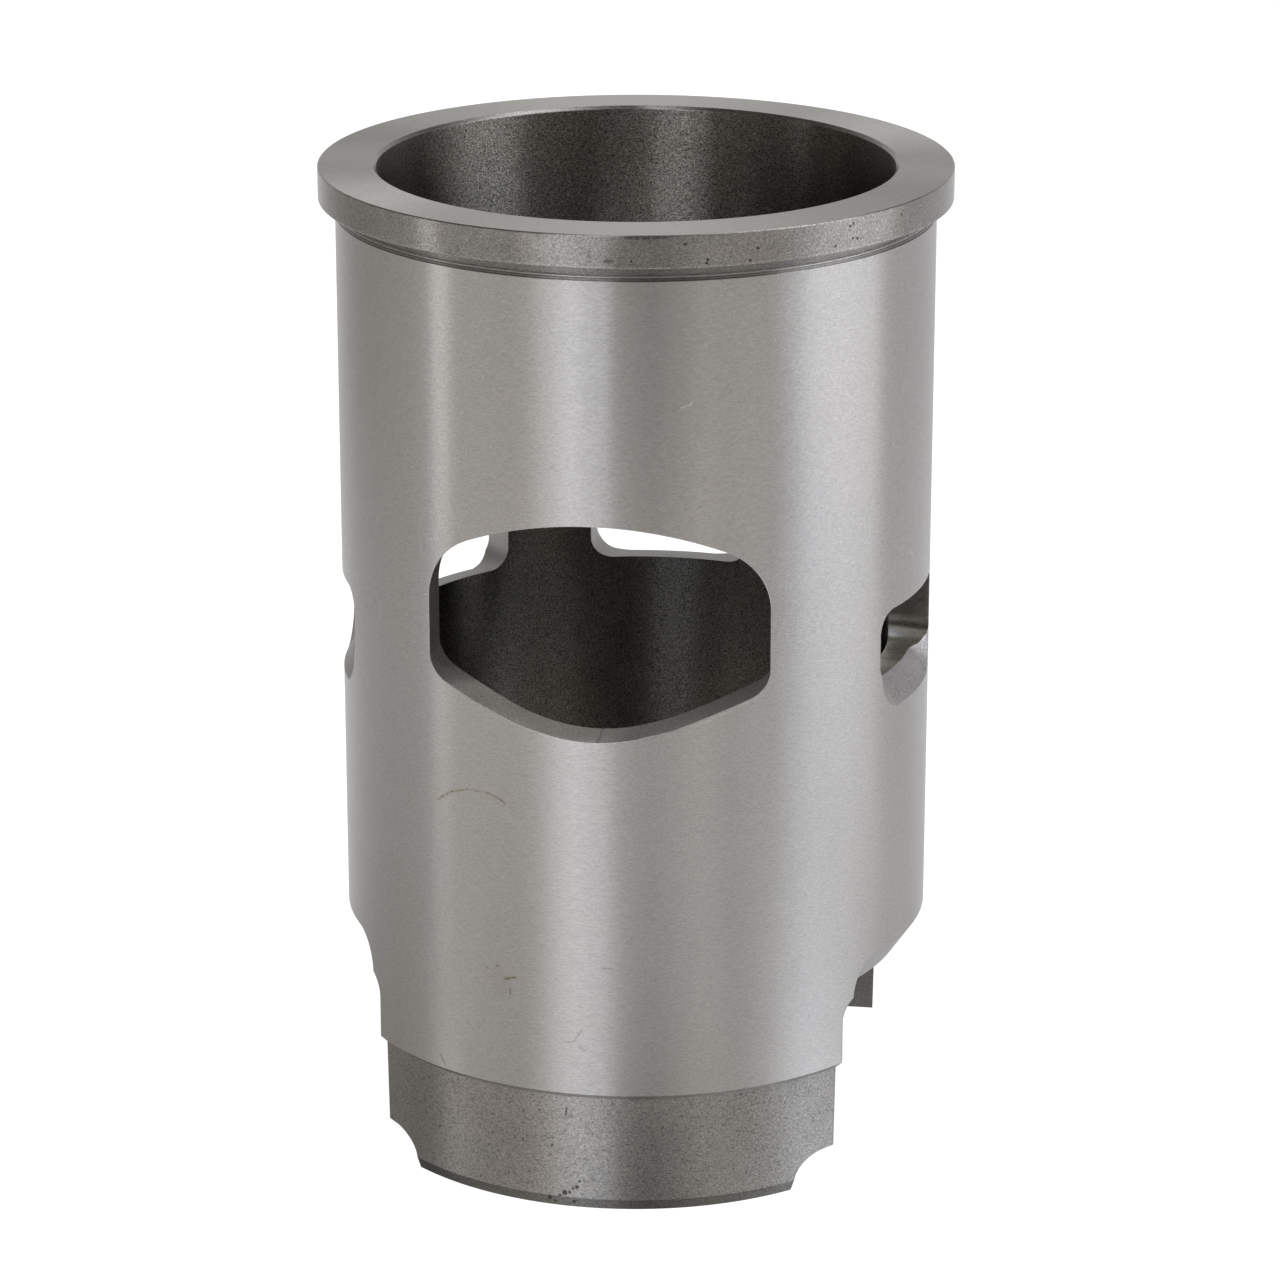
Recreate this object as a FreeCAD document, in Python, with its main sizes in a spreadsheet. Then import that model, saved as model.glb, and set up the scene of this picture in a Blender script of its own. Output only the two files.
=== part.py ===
import FreeCAD, Part
import math
import os
import Sketcher

# Flanged cylinder liner of a two-stroke engine, cast in iron, turned, ground and milled.
# Millimetres, +Z along the bore towards the flange, origin at the centre of the lower end.
# The exhaust port faces -Y. Port heights are measured down from the flange's top face.

SIZES = [
    # the turned form
    ("liner_length", 155.9, "from the lower end to the flange's top face"),
    ("bore_diameter", 80.0, "finished bore"),
    ("bore_top_chamfer", 0.5, "lead-in at the bore's upper lip"),
    ("bore_foot_chamfer", 0.6, "broken edge at the bore's lower end"),
    ("wall", 6.4, "from the bore to the ground outer surface that fits the block"),
    ("flange_overhang", 2.6, "flange that seats in the block, out from the ground surface"),
    ("flange_thickness", 5.0, "flange, from its top face to its seat"),
    ("flange_edge_chamfer", 0.3, "broken outer edges of the flange"),
    ("relief_depth", 0.7, "grinding relief under the flange's seat, in from the ground surface"),
    ("relief_width", 1.9, "grinding relief, along the bore"),
    ("body_lead_height", 0.6, "lead-in at the upper end of the ground surface, along the bore"),
    ("body_lead_depth", 0.3, "lead-in at the upper end of the ground surface, across"),
    ("step_depth", 0.8, "sloping step in from the ground surface to the rough-turned lower end"),
    ("step_height", 0.85, "sloping step, along the bore"),
    ("spigot_length", 18.8, "rough-turned lower end, along the bore"),
    ("spigot_taper", 0.2, "rough-turned lower end, how far it tapers in towards its lead-in"),
    ("lead_chamfer_height", 1.65, "lead-in of the lower end, along the bore"),
    ("lead_chamfer_depth", 0.35, "lead-in of the lower end, across"),
    # exhaust port
    ("exhaust_width", 52.0, "between the side walls"),
    ("exhaust_top", 44.9, "crown of the arched roof"),
    ("exhaust_bottom", 78.8, "lowest point of the floor"),
    ("exhaust_roof_radius", 46.5, "arched roof"),
    ("exhaust_roof_corner", 11.3, "corners between the roof and the walls"),
    ("exhaust_floor_slope", 21.5, "each half of the V-shaped floor, in degrees"),
    ("exhaust_floor_radius", 33.0, "rounding at the foot of the V"),
    ("exhaust_floor_corner", 4.0, "corners between the floor and the walls"),
    # transfer ports and boost port
    ("transfer_top", 64.5, "roof of the transfer and boost ports"),
    ("transfer_floor", 76.4, "floor of the transfer and boost ports at the bore"),
    ("transfer_corner", 3.6, "corners of the transfer and boost ports"),
    ("side_port_width", 26.0, "front pair of transfer ports"),
    ("side_port_angle", 78.4, "front pair's cutting direction from the exhaust, in degrees"),
    ("rear_port_width", 22.5, "rear pair of transfer ports"),
    ("rear_port_angle", 139.8, "rear pair's cutting direction and rear wall, in degrees"),
    ("boost_port_width", 26.2, "boost port, opposite the exhaust"),
    # ramps below those ports, left by a pointed cutter that travels round the liner
    ("ramp_slope", 58.0, "slope of the ramps, from a plane across the bore, in degrees"),
    ("ramp_foot", 80.8, "lower edge of the side and boost ports' ramps on the ground surface"),
    ("rear_ramp_foot", 82.2, "lower edge of the rear ports' ramps on the ground surface"),
    ("ramp_radius", 6.0, "cutter's radius where it meets the ground surface, at the ramps"),
    # skirt
    ("window_front", 28.4, "side windows of the skirt, from the bore's middle to the front tongue"),
    ("window_rear", 27.5, "side windows of the skirt, from the bore's middle to the rear tongue"),
    ("window_top", 125.5, "upper edge of the side windows"),
    ("window_corner", 4.0, "upper corners of the side windows"),
    ("bevel_slope", 55.5, "slope of the bevel above each side window, in degrees"),
    ("bevel_width", 55.6, "bevel above each side window, straight across its ends"),
    ("bevel_top", 120.2, "upper edge of the bevel on the ground surface"),
    ("bevel_radius", 6.3, "cutter's radius where it meets the ground surface, at the bevels"),
    ("foot_window_width", 69.0, "side windows below their ledge, where the tongues are narrower"),
    ("foot_window_height", 5.55, "ledge that narrows the tongues, above the lower end"),
    ("foot_window_corner", 4.2, "corners under the ledge"),
    # how far a cutter runs past the surface that it leaves
    ("overrun", 4.0, "cutters, past the last surface"),
]

doc = FreeCAD.newDocument("cylinder_liner")

sheet = doc.addObject("Spreadsheet::Sheet", "sizes")
for row, (alias, amount, meaning) in enumerate(SIZES, start=1):
    sheet.set(f"A{row}", meaning)
    sheet.set(f"B{row}", str(amount))
    sheet.setAlias(f"B{row}", alias)
doc.recompute()

FRONT = FreeCAD.Vector(0, 0, 1)
UPRIGHT = FreeCAD.Vector(0, 1, 0)

# levels and radii that follow from the sheet, as expressions
TOP = "sizes.liner_length"
BORE_RADIUS = "sizes.bore_diameter / 2"
BODY_RADIUS = f"({BORE_RADIUS} + sizes.wall)"
RELIEF_RADIUS = f"({BODY_RADIUS} - sizes.relief_depth)"
SPIGOT_RADIUS = f"({BODY_RADIUS} - sizes.step_depth)"
FOOT_RADIUS = f"({SPIGOT_RADIUS} - sizes.spigot_taper)"
REACH = f"({BODY_RADIUS} + sizes.flange_overhang)"
SEAT = f"({TOP} - sizes.flange_thickness)"
RELIEF_END = f"({SEAT} - sizes.relief_width)"
BELOW = "-sizes.overrun"


def below_top(depth):
    """The level of a height that is measured down from the flange's top face."""
    return f"{TOP} - sizes.{depth}"


def number(expression):
    """What an expression on the sheet comes to now, in millimetres or degrees."""
    amount = sheet.evalExpression(expression)
    return float(getattr(amount, "Value", amount))


def origin_plane(body, role):
    return next(item for item in body.Origin.OriginFeatures if item.Role == role)


def new_sketch(body, name, role, turn=None):
    """A sketch on one of the body's own planes, turned about the bore by an angle of the sheet."""
    sketch = body.newObject("Sketcher::SketchObject", name)
    sketch.AttachmentSupport = [(origin_plane(body, role), "")]
    sketch.MapMode = "FlatFace"
    if turn:
        sketch.AttachmentOffset = FreeCAD.Placement(FreeCAD.Vector(), FreeCAD.Rotation(UPRIGHT, number(turn)))
        sketch.setExpression("AttachmentOffset.Rotation.Angle", turn)
    return sketch


def dimension(sketch, name, expression, kind, *places):
    """A named driving dimension that follows an expression on the sheet."""
    amount = number(expression)
    if kind == "Angle":
        amount = math.radians(amount)
    index = sketch.addConstraint(Sketcher.Constraint(kind, *places, amount))
    sketch.renameConstraint(index, name)
    sketch.setExpression("Constraints." + name, expression)


def line(start, end):
    return Part.LineSegment(FreeCAD.Vector(*start, 0), FreeCAD.Vector(*end, 0))


def arc(centre, radius, first, last):
    """An arc that runs anticlockwise between two angles, in degrees."""
    circle = Part.Circle(FreeCAD.Vector(*centre, 0), FRONT, radius)
    return Part.ArcOfCircle(circle, math.radians(first), math.radians(last))


def closed_outline(sketch, pieces, joint):
    """
    Adds named lines and arcs that follow one another round an outline, joins each to the next and
    gives back the place of each name in the sketch.
    """
    sketch.addGeometry(list(pieces.values()), False)
    for index in range(len(pieces)):
        following = (index + 1) % len(pieces)
        sketch.addConstraint(Sketcher.Constraint(joint, index, 2, following, 1))
    return {name: index for index, name in enumerate(pieces)}


def turned_profile(body, name):
    """Half section of the turned liner, from the lower end up the outside and down the bore."""
    steps = [
        ("foot_inner", f"{BORE_RADIUS} + sizes.bore_foot_chamfer", "0"),
        ("foot_outer", f"{FOOT_RADIUS} - sizes.lead_chamfer_depth", "0"),
        ("lead_end", FOOT_RADIUS, "sizes.lead_chamfer_height"),
        ("spigot_end", SPIGOT_RADIUS, "sizes.spigot_length"),
        ("body_low", BODY_RADIUS, "sizes.spigot_length + sizes.step_height"),
        ("body_high", BODY_RADIUS, f"{RELIEF_END} - sizes.body_lead_height"),
        ("body_end", f"{BODY_RADIUS} - sizes.body_lead_depth", RELIEF_END),
        ("relief_low", RELIEF_RADIUS, RELIEF_END),
        ("relief_high", RELIEF_RADIUS, SEAT),
        ("seat_end", f"{REACH} - sizes.flange_edge_chamfer", SEAT),
        ("rim_low", REACH, f"{SEAT} + sizes.flange_edge_chamfer"),
        ("rim_high", REACH, f"{TOP} - sizes.flange_edge_chamfer"),
        ("face_outer", f"{REACH} - sizes.flange_edge_chamfer", TOP),
        ("face_inner", f"{BORE_RADIUS} + sizes.bore_top_chamfer", TOP),
        ("bore_high", BORE_RADIUS, f"{TOP} - sizes.bore_top_chamfer"),
        ("bore_low", BORE_RADIUS, "sizes.bore_foot_chamfer"),
    ]
    corners = [(number(radius), number(level)) for _, radius, level in steps]
    sketch = new_sketch(body, name, "XZ_Plane")
    following = corners[1:] + corners[:1]
    places = closed_outline(sketch, {
        step: line(start, end) for (step, _, _), start, end in zip(steps, corners, following)
    }, "Coincident")
    for step, radius, level in steps:
        dimension(sketch, step + "_radius", radius, "DistanceX", -1, 1, places[step], 1)
        if level == "0":
            sketch.addConstraint(Sketcher.Constraint("PointOnObject", places[step], 1, -1))
        else:
            dimension(sketch, step + "_level", level, "DistanceY", -1, 1, places[step], 1)
    return sketch


def window_sketch(body, name, role, width, top, bottom, top_corner, bottom_corner, centre="0", turn=None):
    """A rectangle with rounded corners, upright on the plane; centre is where its middle line lies."""
    sketch = new_sketch(body, name, role, turn)
    middle = number(centre)
    half = number(width) / 2
    high, low = number(top), number(bottom)
    above, under = number(top_corner), number(bottom_corner)
    left, right = middle - half, middle + half
    at = closed_outline(sketch, {
        "floor": line((left + under, low), (right - under, low)),
        "low_right": arc((right - under, low + under), under, -90, 0),
        "right_wall": line((right, low + under), (right, high - above)),
        "high_right": arc((right - above, high - above), above, 0, 90),
        "roof": line((right - above, high), (left + above, high)),
        "high_left": arc((left + above, high - above), above, 90, 180),
        "left_wall": line((left, high - above), (left, low + under)),
        "low_left": arc((left + under, low + under), under, 180, 270),
    }, "Tangent")
    for flat in ("floor", "roof"):
        sketch.addConstraint(Sketcher.Constraint("Horizontal", at[flat]))
    for wall in ("right_wall", "left_wall"):
        sketch.addConstraint(Sketcher.Constraint("Vertical", at[wall]))
    sketch.addConstraint(Sketcher.Constraint("Equal", at["high_right"], at["high_left"]))
    sketch.addConstraint(Sketcher.Constraint("Equal", at["low_right"], at["low_left"]))
    dimension(sketch, "width", width, "DistanceX", at["left_wall"], 1, at["right_wall"], 1)
    dimension(sketch, "right_side", f"{centre} + ({width}) / 2", "DistanceX", -1, 1, at["right_wall"], 1)
    dimension(sketch, "top", top, "DistanceY", -1, 1, at["roof"], 1)
    dimension(sketch, "bottom", bottom, "DistanceY", -1, 1, at["floor"], 1)
    dimension(sketch, "top_corner", top_corner, "Radius", at["high_right"])
    dimension(sketch, "bottom_corner", bottom_corner, "Radius", at["low_right"])
    return sketch


def exhaust_sketch(body, name):
    """The exhaust port's outline: arched roof, upright walls and a shallow V of a floor."""
    half_text = "sizes.exhaust_width / 2"
    half = number(half_text)
    roof, corner = number("sizes.exhaust_roof_radius"), number("sizes.exhaust_roof_corner")
    vee, foot = number("sizes.exhaust_floor_radius"), number("sizes.exhaust_floor_corner")
    slope = math.radians(number("sizes.exhaust_floor_slope"))
    roof_text = f"{below_top('exhaust_top')} - sizes.exhaust_roof_radius"
    vee_text = f"{below_top('exhaust_bottom')} + sizes.exhaust_floor_radius"
    roof_level, vee_level = number(roof_text), number(vee_text)
    # centres of the corner arcs, tangent to the roof's arch and to the wall
    corner_level = roof_level + math.sqrt((roof - corner) ** 2 - (half - corner) ** 2)
    lean = math.degrees(math.atan2(corner_level - roof_level, half - corner))
    # where the floor's arc, its straight flanks and the foot corners touch
    run, rise = vee * math.sin(slope), vee * (1 - math.cos(slope))
    flank = number(below_top("exhaust_bottom")) + rise
    middle_run = half - foot
    middle_level = flank + (middle_run - run) * math.tan(slope) + foot / math.cos(slope)
    end_run = middle_run + foot * math.sin(slope)
    end_level = middle_level - foot * math.cos(slope)
    tilt = math.degrees(slope)
    arch_run, arch_rise = roof * math.cos(math.radians(lean)), roof * math.sin(math.radians(lean))
    sketch = new_sketch(body, name, "XZ_Plane")
    at = closed_outline(sketch, {
        "vee": arc((0, vee_level), vee, 270 - tilt, 270 + tilt),
        "right_floor": line((run, flank), (end_run, end_level)),
        "right_foot": arc((middle_run, middle_level), foot, tilt - 90, 0),
        "right_wall": line((half, middle_level), (half, corner_level)),
        "right_corner": arc((half - corner, corner_level), corner, 0, lean),
        "arch": arc((0, roof_level), roof, lean, 180 - lean),
        "left_corner": arc((corner - half, corner_level), corner, 180 - lean, 180),
        "left_wall": line((-half, corner_level), (-half, middle_level)),
        "left_foot": arc((-middle_run, middle_level), foot, 180, 270 - tilt),
        "left_floor": line((-end_run, end_level), (-run, flank)),
    }, "Tangent")
    for wall in ("right_wall", "left_wall"):
        sketch.addConstraint(Sketcher.Constraint("Vertical", at[wall]))
    for centred in ("vee", "arch"):
        sketch.addConstraint(Sketcher.Constraint("PointOnObject", at[centred], 3, -2))
    sketch.addConstraint(Sketcher.Constraint("Equal", at["right_corner"], at["left_corner"]))
    sketch.addConstraint(Sketcher.Constraint("Equal", at["right_foot"], at["left_foot"]))
    dimension(sketch, "right_side", half_text, "DistanceX", -1, 1, at["right_wall"], 1)
    dimension(sketch, "left_side", half_text, "DistanceX", at["left_wall"], 1, -1, 1)
    dimension(sketch, "roof_centre", roof_text, "DistanceY", -1, 1, at["arch"], 3)
    dimension(sketch, "roof_radius", "sizes.exhaust_roof_radius", "Radius", at["arch"])
    dimension(sketch, "roof_corner", "sizes.exhaust_roof_corner", "Radius", at["right_corner"])
    dimension(sketch, "floor_centre", vee_text, "DistanceY", -1, 1, at["vee"], 3)
    dimension(sketch, "floor_radius", "sizes.exhaust_floor_radius", "Radius", at["vee"])
    dimension(sketch, "floor_corner", "sizes.exhaust_floor_corner", "Radius", at["right_foot"])
    dimension(sketch, "right_slope", "sizes.exhaust_floor_slope", "Angle", -1, 1, at["right_floor"], 1)
    dimension(sketch, "left_slope", "sizes.exhaust_floor_slope", "Angle", at["left_floor"], 2, -1, 2)
    return sketch


def cut_outwards(body, name, sketch):
    """Cuts a sketched outline from the axis out through one side of the wall."""
    pocket = body.newObject("PartDesign::Pocket", name)
    pocket.Profile = sketch
    pocket.Type = "Length"
    pocket.Reversed = True
    pocket.setExpression("Length", REACH)
    return pocket


def cut_across(body, name, sketch):
    """Cuts a sketched outline straight across the bore, through both sides of the wall."""
    pocket = body.newObject("PartDesign::Pocket", name)
    pocket.Profile = sketch
    pocket.Type = "Length"
    pocket.SideType = "Symmetric"
    pocket.setExpression("Length", f"2 * {REACH}")
    return pocket


def cutter_path(body, name, first, last, radius, level, slope):
    """
    The path of a pointed cutter that runs round the liner, its axis always across the bore, from one
    angle to another: a ring with sloping sides, and the cutter's own cone at each end of it.
    """
    point = f"({BODY_RADIUS} - {radius} / tan({slope}))"
    depth = f"({REACH} - {point})"
    flare = f"({depth} * tan({slope}))"
    sketch = new_sketch(body, name + "_section", "XZ_Plane", f"{first} - 90deg")
    tip, rim = number(point), number(REACH)
    middle, spread = number(level), number(flare)
    at = closed_outline(sketch, {
        "low_side": line((tip, middle), (rim, middle - spread)),
        "mouth": line((rim, middle - spread), (rim, middle + spread)),
        "high_side": line((rim, middle + spread), (tip, middle)),
    }, "Coincident")
    sketch.addConstraint(Sketcher.Constraint("Vertical", at["mouth"]))
    dimension(sketch, "point", point, "DistanceX", -1, 1, at["low_side"], 1)
    dimension(sketch, "level", level, "DistanceY", -1, 1, at["low_side"], 1)
    dimension(sketch, "reach", REACH, "DistanceX", -1, 1, at["mouth"], 1)
    dimension(sketch, "low_flare", flare, "DistanceY", at["mouth"], 1, at["low_side"], 1)
    dimension(sketch, "high_flare", flare, "DistanceY", at["low_side"], 1, at["mouth"], 2)
    ring = body.newObject("PartDesign::Revolution", name)
    ring.Profile = sketch
    ring.ReferenceAxis = (sketch, ["V_Axis"])
    ring.setExpression("Angle", f"{last} - ({first})")
    for end, angle in (("first", first), ("last", last)):
        cone = body.newObject("PartDesign::AdditiveCone", f"{name}_{end}_end")
        cone.AttachmentSupport = [(origin_plane(body, "XZ_Plane"), "")]
        cone.MapMode = "FlatFace"
        cone.AttachmentOffset = FreeCAD.Placement(FreeCAD.Vector(), FreeCAD.Rotation(UPRIGHT, number(angle)))
        cone.setExpression("AttachmentOffset.Base.x", f"{point} * sin({angle})")
        cone.setExpression("AttachmentOffset.Base.y", level)
        cone.setExpression("AttachmentOffset.Base.z", f"{point} * cos({angle})")
        cone.setExpression("AttachmentOffset.Rotation.Angle", angle)
        cone.Radius1 = 0.0
        cone.setExpression("Radius2", flare)
        cone.setExpression("Height", depth)


def angle_at(distance):
    """The angle round the ground surface at which a distance from the middle plane is reached."""
    return f"asin(({distance}) / {BODY_RADIUS})"


def milled_port(body, paths, name, width, direction, ramp_foot="ramp_foot", middle="0"):
    """
    A port milled square through the wall in one direction, with a ramp outside below its floor.
    The cutter of the ramp turns back short of each wall by its own radius at the ground surface.
    """
    sketch = window_sketch(body, name + "_outline", "XZ_Plane", width, below_top("transfer_top"),
                           below_top("transfer_floor"), "sizes.transfer_corner", "sizes.transfer_corner",
                           middle, direction)
    first = f"{direction} + {angle_at(f'{middle} - {width} / 2 + sizes.ramp_radius')}"
    last = f"{direction} + {angle_at(f'{middle} + {width} / 2 - sizes.ramp_radius')}"
    cutter_path(paths, name + "_ramp", first, last, "sizes.ramp_radius",
                f"{below_top(ramp_foot)} + sizes.ramp_radius", "sizes.ramp_slope")
    return cut_outwards(body, name, sketch)


def cylinder_liner():
    liner = doc.addObject("PartDesign::Body", "liner")
    liner.Label = "cylinder_liner"
    liner.Placement = FreeCAD.Placement()
    paths = doc.addObject("PartDesign::Body", "cutter_paths")

    profile = turned_profile(liner, "turned_profile")
    blank = liner.newObject("PartDesign::Revolution", "turned_blank")
    blank.Profile = profile
    blank.ReferenceAxis = (profile, ["V_Axis"])
    blank.Angle = 360.0

    cuts = [cut_outwards(liner, "exhaust_port", exhaust_sketch(liner, "exhaust_outline"))]
    cuts.append(milled_port(liner, paths, "boost_port", "sizes.boost_port_width", "180deg"))
    for side, sign in (("right", "1"), ("left", "-1")):
        cuts.append(milled_port(liner, paths, side + "_side_port", "sizes.side_port_width",
                                f"{sign} * sizes.side_port_angle * 1deg"))
        # the wall of a rear port that lies towards the boost port is square to the bore
        cuts.append(milled_port(liner, paths, side + "_rear_port", "sizes.rear_port_width",
                                f"{sign} * sizes.rear_port_angle * 1deg", "rear_ramp_foot",
                                f"-{sign} * sizes.rear_port_width / 2"))

    sketch = window_sketch(liner, "window_outline", "YZ_Plane", "sizes.window_front + sizes.window_rear",
                           below_top("window_top"), BELOW, "sizes.window_corner", "sizes.window_corner",
                           "(sizes.window_rear - sizes.window_front) / 2")
    cuts.append(cut_across(liner, "skirt_windows", sketch))
    sketch = window_sketch(liner, "foot_window_outline", "YZ_Plane", "sizes.foot_window_width",
                           "sizes.foot_window_height", BELOW, "sizes.foot_window_corner",
                           "sizes.foot_window_corner")
    cuts.append(cut_across(liner, "skirt_feet", sketch))
    bevel_travel = angle_at("sizes.bevel_width / 2 - sizes.bevel_radius")
    for side, middle in (("right", "90deg"), ("left", "270deg")):
        cutter_path(paths, side + "_bevel", f"{middle} - {bevel_travel}", f"{middle} + {bevel_travel}",
                    "sizes.bevel_radius", f"{below_top('bevel_top')} - sizes.bevel_radius",
                    "sizes.bevel_slope")

    ramps = liner.newObject("PartDesign::Boolean", "ramps_and_bevels")
    ramps.setObjects([paths])
    ramps.Type = "Cut"
    liner.Tip = ramps
    return liner, blank, [*cuts, ramps]


liner, blank, cuts = cylinder_liner()
doc.recompute()

# every feature is sound, and every cut takes material away
for item in doc.Objects:
    if "Invalid" in item.State or "Error" in item.State:
        raise ValueError(f"{item.Name} failed: {item.State}")
volume = blank.Shape.Volume
for cut in cuts:
    print(f"{cut.Name} takes {volume - cut.Shape.Volume:.1f} cubic mm")
    if cut.Shape.Volume >= volume:
        raise ValueError(f"{cut.Name} cuts nothing")
    volume = cut.Shape.Volume
if liner.Shape.isNull() or not liner.Shape.isValid() or len(liner.Shape.Solids) != 1:
    raise ValueError("the liner is not one sound solid")

os.makedirs("parts", exist_ok=True)
liner.Shape.exportStep(f"parts/{liner.Label}.step")
print(f"{liner.Label}: {liner.Shape.Volume / 1000:.1f} cubic cm, {len(liner.Shape.Faces)} faces")
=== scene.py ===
import math

import bmesh
import bpy
from mathutils import Matrix, Vector


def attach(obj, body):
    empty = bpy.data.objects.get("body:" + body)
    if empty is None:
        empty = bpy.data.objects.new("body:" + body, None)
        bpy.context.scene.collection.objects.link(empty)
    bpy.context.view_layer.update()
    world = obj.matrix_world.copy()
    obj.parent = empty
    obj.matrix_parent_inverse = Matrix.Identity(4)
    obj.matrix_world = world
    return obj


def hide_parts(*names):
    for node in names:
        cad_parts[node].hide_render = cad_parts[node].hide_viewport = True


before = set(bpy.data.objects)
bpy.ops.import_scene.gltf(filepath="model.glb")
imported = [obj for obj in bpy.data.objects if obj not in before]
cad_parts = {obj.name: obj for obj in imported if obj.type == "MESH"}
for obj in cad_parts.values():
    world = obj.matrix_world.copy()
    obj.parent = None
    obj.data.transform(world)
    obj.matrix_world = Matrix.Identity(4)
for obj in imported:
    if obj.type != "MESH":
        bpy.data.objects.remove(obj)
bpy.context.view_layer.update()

# The liner is modelled in millimetres, in the frame of the solid, and is made metres at the end.
MM = 0.001
# The camera stands this many degrees to the right of the exhaust port.
CAMERA_TURN = 8.3

# turned form: radius and height
BORE = 40.0
GROUND = 46.4
RELIEF = 45.7
SPIGOT = 45.6
FOOT = 45.4
REACH = 49.0
TOP = 155.9
SEAT = 150.9
RELIEF_END = 149.0
SPIGOT_TOP = 18.8
STEP_TOP = 19.65
LEAD_IN = 1.65
FOOT_CHAMFER = 0.6
MOUTH_CHAMFER = 0.5
COLUMNS = 720
# the radius to which the cutters reach, clear of the flange
CLEAR = REACH + 4

# finishes, with painted shade and a painted highlight among them, in the order of the liner's material slots
(GROUND_FINISH, FACE_FINISH, RIM_FINISH, RELIEF_SHADE, SPIGOT_FINISH, LEAD_FINISH, BORE_FINISH,
 EXHAUST_FINISH, PORT_FINISH, RAMP_FINISH, WINDOW_FINISH, CORNER_HIGHLIGHT, REAR_FINISH) = range(13)


def turned_blank(bm):
    """The liner before its ports are cut: the half section, spun once round the bore."""
    steps = [
        (BORE + FOOT_CHAMFER, 0.0), (FOOT - 0.35, 0.0), (FOOT, LEAD_IN), (SPIGOT, SPIGOT_TOP),
        (GROUND, STEP_TOP),
        # a shallow groove and a narrow land, where the grinding wheel ran out
        (GROUND, RELIEF_END - 0.6), (GROUND - 0.12, RELIEF_END - 0.56), (GROUND - 0.2, RELIEF_END - 0.2),
        (GROUND - 0.3, RELIEF_END - 0.16), (GROUND - 0.3, RELIEF_END + 0.04),
        (RELIEF, RELIEF_END + 0.1), (RELIEF, SEAT),
        # the flange, its edges broken, and the mouth of the bore
        (REACH - 0.1, SEAT), (REACH, SEAT + 0.1), (REACH, TOP - 0.15), (REACH - 0.15, TOP),
        (BORE + MOUTH_CHAMFER, TOP), (BORE, TOP - MOUTH_CHAMFER), (BORE, FOOT_CHAMFER),
    ]
    corners = [bm.verts.new((radius, 0, level)) for radius, level in steps]
    for start, end in zip(corners, corners[1:] + corners[:1]):
        bm.edges.new((start, end))
    bmesh.ops.spin(bm, geom=bm.verts[:] + bm.edges[:], cent=(0, 0, 0), axis=(0, 0, 1),
                   angle=math.tau, steps=COLUMNS, use_merge=True, use_duplicate=False)
    bmesh.ops.recalc_face_normals(bm, faces=bm.faces[:])
    for face in bm.faces:
        face.material_index = turned_finish(face.calc_center_median())


def turned_finish(point):
    """Which finish a turned face has, from its place on the blank."""
    if point.xy.length < BORE + MOUTH_CHAMFER and point.z > FOOT_CHAMFER:
        return BORE_FINISH if point.z < TOP - MOUTH_CHAMFER else RIM_FINISH
    if point.z < LEAD_IN:
        return LEAD_FINISH
    if point.z < STEP_TOP:
        return SPIGOT_FINISH
    if point.z > TOP - 0.05:
        return FACE_FINISH
    if point.z > SEAT + 0.02:
        return RIM_FINISH
    # from here down: the grinding relief with painted shade, its corner with a painted highlight, the land,
    # and the groove below it with painted shade
    if point.z > RELIEF_END + 0.09:
        return RELIEF_SHADE
    if point.z > RELIEF_END:
        return CORNER_HIGHLIGHT
    if point.z > RELIEF_END - 0.12:
        return GROUND_FINISH
    return RELIEF_SHADE if point.z > RELIEF_END - 0.59 else GROUND_FINISH


def cutter_piece(name, build, finish, *places):
    """A cutter as an object of its own, whose faces carry the finish that they leave."""
    bm = bmesh.new()
    build(bm, *places)
    bmesh.ops.recalc_face_normals(bm, faces=bm.faces[:])
    for face in bm.faces:
        face.material_index = finish
    mesh = bpy.data.meshes.new(name)
    bm.to_mesh(mesh)
    bm.free()
    piece = bpy.data.objects.new(name, mesh)
    bpy.context.scene.collection.objects.link(piece)
    return piece


def arc_to(bm, start, centre, degrees, steps):
    """Takes an outline on from a vertex round a centre in the XZ plane and gives its new end."""
    made = bmesh.ops.spin(bm, geom=[start], cent=centre, axis=(0, -1, 0), angle=math.radians(degrees),
                          steps=steps, use_merge=False, use_duplicate=False)
    return next(item for item in made["geom_last"] if isinstance(item, bmesh.types.BMVert))


def line_to(bm, start, x, z):
    """Takes an outline on from a vertex in a straight line."""
    end = bm.verts.new((x, 0, z))
    bm.edges.new((start, end))
    return end


def rise(value, low, high):
    """0 up to low, 1 from high on, and straight in between."""
    return min(max((value - low) / (high - low), 0), 1)


def floor_offset(x, half, foot, dressed):
    """How far the exhaust port's floor lies off its plain V inside, and moves again further out."""
    right = rise(x, 11, 18)
    middle = 1 - rise(abs(x), 9, 13)
    if dressed:
        flank = rise(abs(x), 9, 17) * rise(half - abs(x), 0, foot)
        return 0.1 * right - 0.2 * middle - flank * dressed
    return 0.2 * middle - 0.45 * right


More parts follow.
